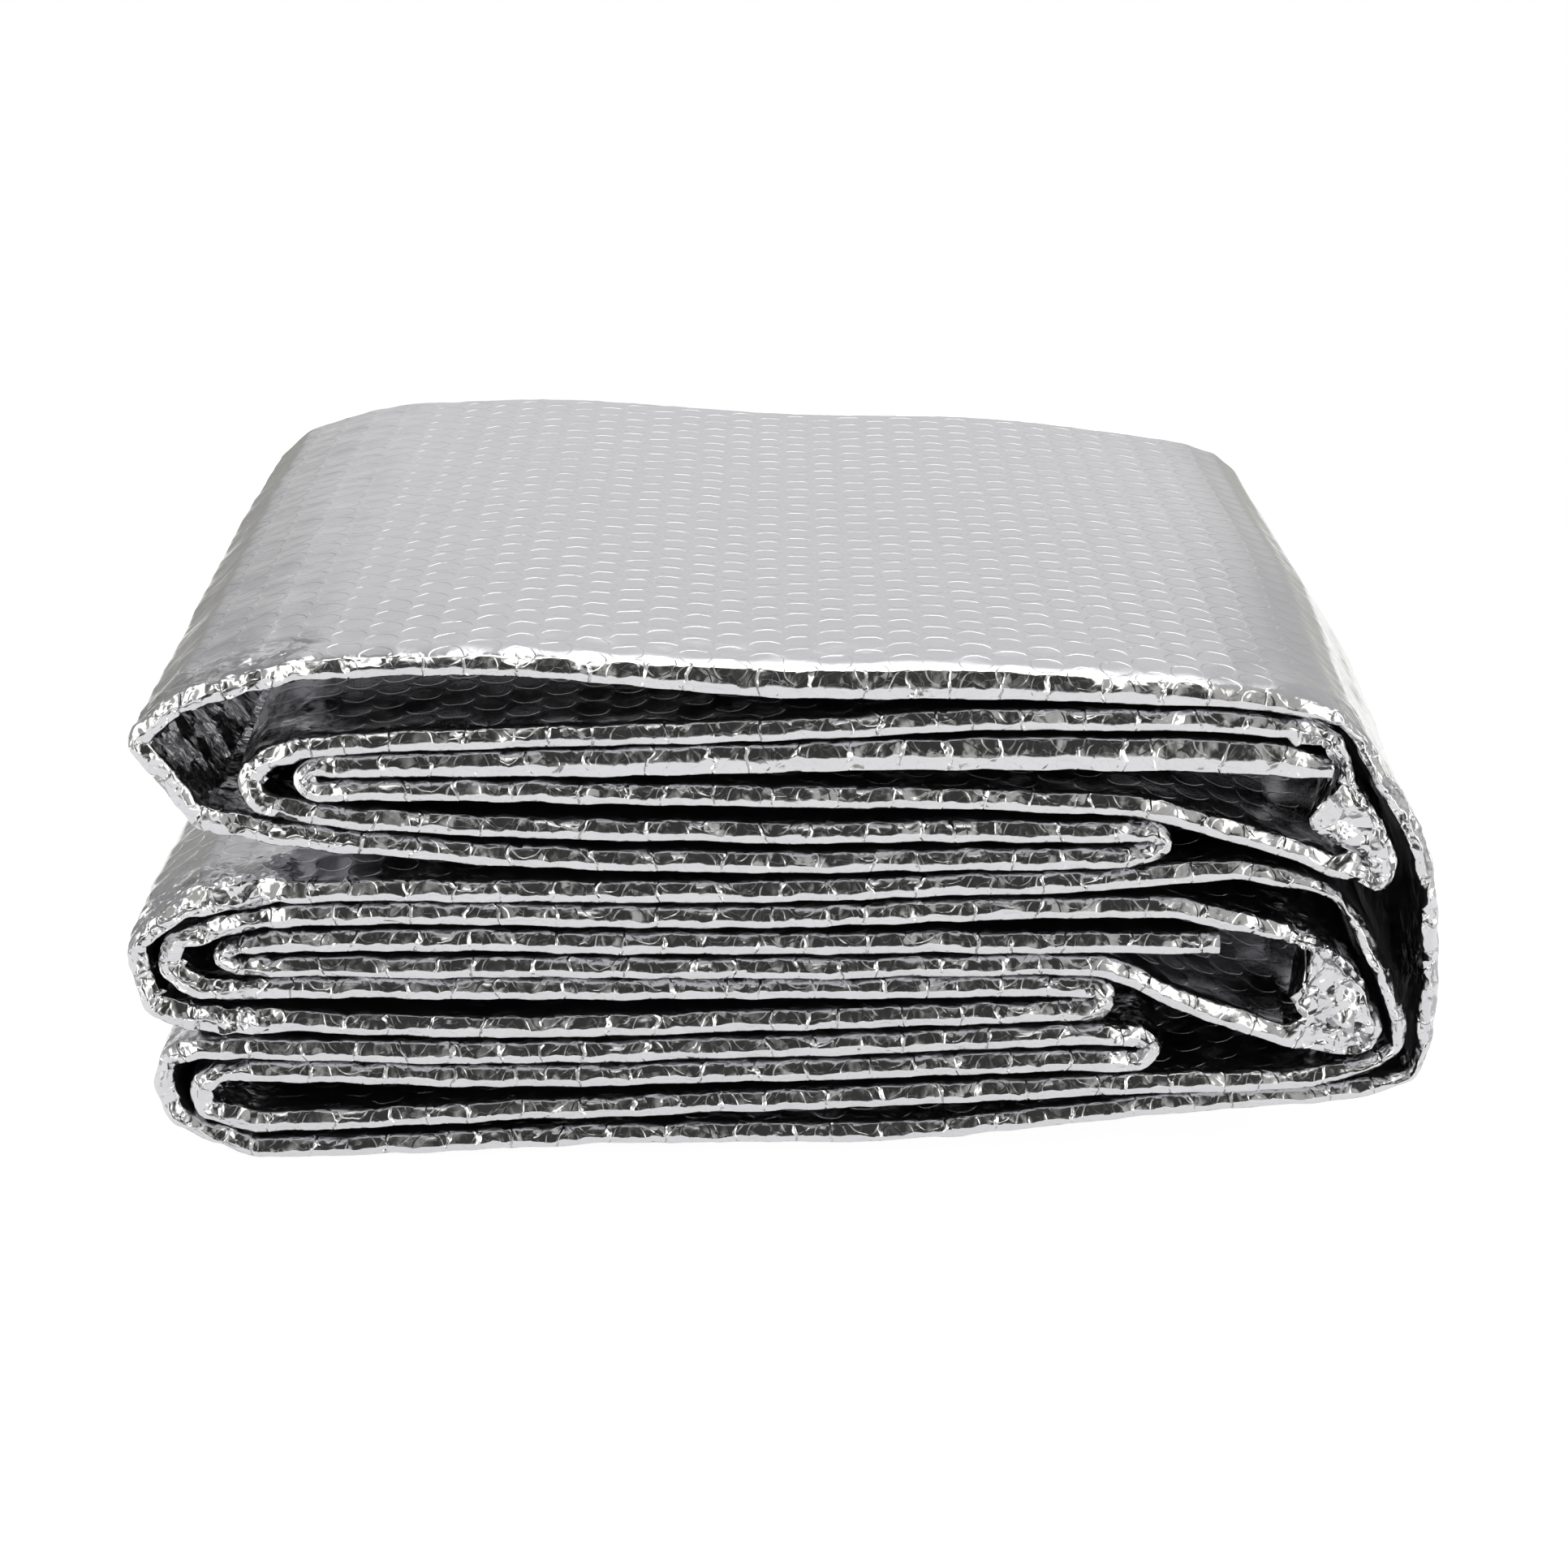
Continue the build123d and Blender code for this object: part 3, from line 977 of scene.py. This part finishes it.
@dataclass
class Pile:
    """The whole folded blanket: its pieces, how each was handled, and the four creases that open."""

    frame: dict
    crease_reach: float = 9.0 * MM       # half the length of the strip that spans a joint
    loose_end: float = 6.0 * MM          # the upper free end reaches into the crumpled fold beside it
    pieces: list[BlanketPiece] = field(default_factory=list)

    def __post_init__(self) -> None:
        """Read the route and find the body of every piece."""
        self.route = FoldRoute(SHEET_ORDER)
        self.route.read(self.frame["nodes"])
        self.laminate = Laminate()
        bodies = self.frame["record"]["behaviour"]["bodies"]
        self.body_of = {node: body for body, nodes in bodies.items() for node in nodes}
        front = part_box("section_01_foil")[0][1]
        spans = self.route.spans
        self.folder = Folder(self.route, self.laminate, front, spans["section_16"], spans["section_01"],
                             [place for spine in ("outer_spine", "inner_spine") for place in spans[spine]])

    def _nodes(self, name: str) -> tuple[str, ...]:
        """The frame's nodes that a piece stands for."""
        return (name,) if name in self.frame["nodes"] else (name + "_bubbles", name + "_foil")

    def plan(self) -> None:
        """List the pieces along the sheet, with a strip of its own wherever two bodies meet."""
        bodies = [self.body_of[self._nodes(name)[0]] for name in SHEET_ORDER]
        last = len(bodies) - 1
        for index, (name, body) in enumerate(zip(SHEET_ORDER, bodies)):
            start, end = self.route.spans[name]
            start -= self.loose_end if index == 0 else 0.0
            if index and bodies[index - 1] != body:
                before = SHEET_ORDER[index - 1]
                strip = BlanketPiece(f"crease_{before}_to_{name}", start - self.crease_reach,
                                     start + self.crease_reach, (bodies[index - 1], body), ())
                if {name, before} & set(SHOWN_LEFT):
                    strip.left_face = Grade.SHOWN
                self.pieces.append(strip)
                start += self.crease_reach
            if index < last and bodies[index + 1] != body:
                end -= self.crease_reach
            piece = BlanketPiece(name + "_sheet", start, end, (body,), self._nodes(name))
            piece.left_face = Grade.SHOWN if name in SHOWN_LEFT else piece.left_face
            piece.right_face = Grade.SHOWN if name in SHOWN_RIGHT else piece.right_face
            self.pieces.append(piece)

    def build(self, foil: Material, film: Material) -> None:
        """Make and dress every piece, and attach each piece that lies on one body to that body.

        Args:
            foil: Material of the faces.
            film: Material of the cut edges.
        """
        for piece in self.pieces:
            made = self._make(piece, foil, film)
            self._attach(piece, made)
            LOG.info("%s: %d faces, %s", piece.name, len(made.data.polygons), " to ".join(piece.bodies))

    def _make(self, piece: BlanketPiece, foil: Material, film: Material) -> Object:
        """Fold one piece and give it its ply thickness.

        Args:
            piece: The piece.
            foil: Material of the faces.
            film: Material of the cut edges.

        Returns:
            The finished object.
        """
        data = piece.flat_grid()
        flat = np.empty(len(data.vertices) * 3)
        data.vertices.foreach_get("co", flat)
        flat = flat.reshape(-1, 3)
        corners = np.empty(len(data.loops), dtype=np.int64)
        data.loops.foreach_get("vertex_index", corners)
        chart = data.uv_layers.new(name=LAMINATE_MAP)
        chart.uv.foreach_set("vector", flat[corners, :2].astype(np.float32).ravel())
        folded = self.folder.fold(flat[:, 0], flat[:, 1])
        data.vertices.foreach_set("co", folded.astype(np.float32).ravel())
        crackle = data.attributes.new(CRACKLE_MAP, "FLOAT", "POINT")
        crackle.data.foreach_set("value", self.folder.crackle(flat[:, 0], flat[:, 1]).astype(np.float32))
        data.update()
        data.materials.append(foil)
        data.materials.append(film)
        made = bpy.data.objects.new(piece.name, data)
        bpy.context.scene.collection.objects.link(made)
        thick = made.modifiers.new("ply", "SOLIDIFY")
        thick.thickness = self.laminate.ply
        thick.offset = -1.0
        thick.use_rim = True
        thick.material_offset_rim = 1
        bpy.context.view_layer.update()
        solid = bpy.data.meshes.new_from_object(made.evaluated_get(bpy.context.evaluated_depsgraph_get()))
        made.modifiers.clear()
        made.data = solid
        solid.name = piece.name
        solid.shade_smooth()
        self._sharpen_cuts(solid)
        return made

    @staticmethod
    def _sharpen_cuts(mesh: Mesh) -> None:
        """Mark the edges of the cut faces sharp, so that they don't tint the foil's shading.

        Args:
            mesh: The piece's mesh, changed in place.
        """
        faces = bmesh.new()
        faces.from_mesh(mesh)
        for edge in faces.edges:
            materials = {face.material_index for face in edge.link_faces}
            edge.smooth = len(materials) < 2
        faces.to_mesh(mesh)
        faces.free()

    def _attach(self, piece: BlanketPiece, made: Object) -> None:
        """Args:
            piece: The piece.
            made: Its object.
        """
        if len(piece.bodies) == 1:
            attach(made, piece.bodies[0])
        else:
            (start_x, start_z), (end_x, end_z) = self.route.at(np.array([piece.start, piece.end]))[0].T
            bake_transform(made)
        if piece.replaced:
            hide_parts(*piece.replaced)


# ---- studio ----


@dataclass(frozen=True)
class Studio:
    """A pale lit table, soft light from behind and from both sides, a dark room in front, and the camera.

    The stops are pairs of an angle and a brightness: angle 0 is the front, 0.5 is up and 1 is the back.
    """

    floor_size: tuple[float, float] = (0.8, 1.6)
    floor_colour: str = "#909090"
    floor_glow: float = 0.84             # so that no shadow shows
    walls: tuple = ((0.0, 0.4), (0.03, 0.045), (0.55, 0.045), (0.64, 0.3), (0.80, 0.64), (0.88, 0.78),
                    (1.0, 0.84))
    strip: tuple = ((0.41, 0.0), (0.45, 2.4), (0.58, 2.4), (0.63, 0.0))
    panel: tuple = ((0.58, 0.0), (0.64, 3.2), (0.80, 2.6), (0.87, 0.0))
    side_walls: tuple = ((-0.11, -0.50, 0.36), (0.15, 0.32, 0.57))    # from where, to where, brightness
    side_strips: float = 2.0             # brightness of an upright light on each side
    front_tone: str = "#FFFEF8"
    camera_place: tuple[float, float, float] = (0.0, -1.0065, 0.4242)
    camera_pitch: float = 70.0
    focal_length: float = 71.74

    def floor(self) -> None:
        """Lay the floor."""
        mesh = bmesh.new()
        bmesh.ops.create_grid(mesh, x_segments=4, y_segments=4, size=0.5)
        bmesh.ops.scale(mesh, vec=(*self.floor_size, 1.0), verts=mesh.verts)
        data = bpy.data.meshes.new("studio_floor")
        mesh.to_mesh(data)
        mesh.free()
        floor = bpy.data.objects.new("studio_floor", data)
        bpy.context.scene.collection.objects.link(floor)
        material = bpy.data.materials.new("matt_white_paper")
        material.use_nodes = True
        shader = material.node_tree.nodes["Principled BSDF"]
        shader.inputs["Base Color"].default_value = linear(self.floor_colour)
        shader.inputs["Roughness"].default_value = 0.9
        shader.inputs["Emission Color"].default_value = (1.0, 1.0, 1.0, 1.0)
        shader.inputs["Emission Strength"].default_value = self.floor_glow
        data.materials.append(material)
        floor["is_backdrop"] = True

    def light(self) -> None:
        """Light the room from its walls, by direction."""
        world = bpy.data.worlds.new("studio")
        bpy.context.scene.world = world
        world.use_nodes = True
        tree = world.node_tree
        tree.nodes.clear()
        way = add_node(tree, "ShaderNodeTexCoord").outputs["Generated"]
        split = add_node(tree, "ShaderNodeSeparateXYZ", None, {0: way})
        across = split.outputs["X"]
        front = number(tree, "MULTIPLY", split.outputs["Y"], -1.0)
        angle = number(tree, "ARCTAN2", split.outputs["Z"], front)
        turn = ranged(tree, angle, 0.0, math.pi)
        walls, strip, panel = (self._ramp(tree, turn, stops)
                               for stops in (self.walls, self.strip, self.panel))
        panel_end = ranged(tree, across, -0.13, -0.04, soft=True)
        room = number(tree, "ADD", walls, number(tree, "MULTIPLY_ADD", panel, panel_end, strip))
        for start, end, brightness in self.side_walls:
            share = ranged(tree, across, start, end, soft=True)
            room = add_node(tree, "ShaderNodeMix", {"data_type": "FLOAT"},
                            {0: share, 2: room, 3: brightness}).outputs[0]
        aside = number(tree, "ABSOLUTE", across)
        upright = number(tree, "MULTIPLY", ranged(tree, aside, 0.52, 0.60, 0.0, self.side_strips, soft=True),
                         ranged(tree, aside, 0.78, 0.88, 1.0, 0.1, soft=True))
        upright = number(tree, "MULTIPLY", upright, ranged(tree, turn, 0.62, 0.74, 1.0, 0.0, soft=True))
        room = number(tree, "ADD", room, upright)
        seen = add_node(tree, "ShaderNodeLightPath").outputs["Is Camera Ray"]
        strength = add_node(tree, "ShaderNodeMix", {"data_type": "FLOAT"}, {0: seen, 2: room, 3: 1.0})
        plain = number(tree, "MAXIMUM", ranged(tree, turn, 0.55, 0.65), seen)
        tone = add_node(tree, "ShaderNodeMix", {"data_type": "RGBA"},
                        {0: plain, 6: linear(self.front_tone), 7: linear("#FFFFFF")})
        back = add_node(tree, "ShaderNodeBackground", None,
                        {"Color": tone.outputs[2], "Strength": strength.outputs[0]})
        add_node(tree, "ShaderNodeOutputWorld", None, {"Surface": back.outputs[0]})

    @staticmethod
    def _ramp(tree: NodeTree, turn: NodeSocket, stops: tuple[tuple[float, float], ...]) -> NodeSocket:
        """A brightness curve over the half turn from the front, over the top, to the back.

        Args:
            tree: The world's node tree.
            turn: Angle as a share of the half turn.
            stops: Pairs of share and brightness.

        Returns:
            The brightness.
        """
        peak = max(brightness for _, brightness in stops)
        ramp = add_node(tree, "ShaderNodeValToRGB", None, {"Fac": turn})
        elements = ramp.color_ramp.elements
        while len(elements) < len(stops):
            elements.new(0.5)
        for element, (place, brightness) in zip(elements, stops):
            element.position = place
            element.color = (brightness / peak, brightness / peak, brightness / peak, 1.0)
        return number(tree, "MULTIPLY", ramp.outputs[0], peak)

    def camera(self) -> None:
        """Set up the camera."""
        data = bpy.data.cameras.new("camera")
        data.lens = self.focal_length
        data.sensor_width = 36.0
        camera = bpy.data.objects.new("camera", data)
        camera.location = self.camera_place
        camera.rotation_euler = (math.radians(self.camera_pitch), 0.0, 0.0)
        bpy.context.scene.collection.objects.link(camera)
        bpy.context.scene.camera = camera
        bpy.context.scene.view_settings.view_transform = "Standard"


def main() -> tuple:
    """Build the blanket and the studio.

    Returns:
        The frame's box before anything was added.
    """
    logging.basicConfig(level=logging.INFO, format="%(name)s %(message)s")
    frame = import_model()
    frame_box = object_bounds()
    pile = Pile(frame)
    pile.plan()
    pile.build(MetallisedFoil().build(), BubbleFilm().build())
    studio = Studio()
    studio.floor()
    studio.light()
    studio.camera()
    return frame_box


if __name__ == "__main__":
    cad_box = main()
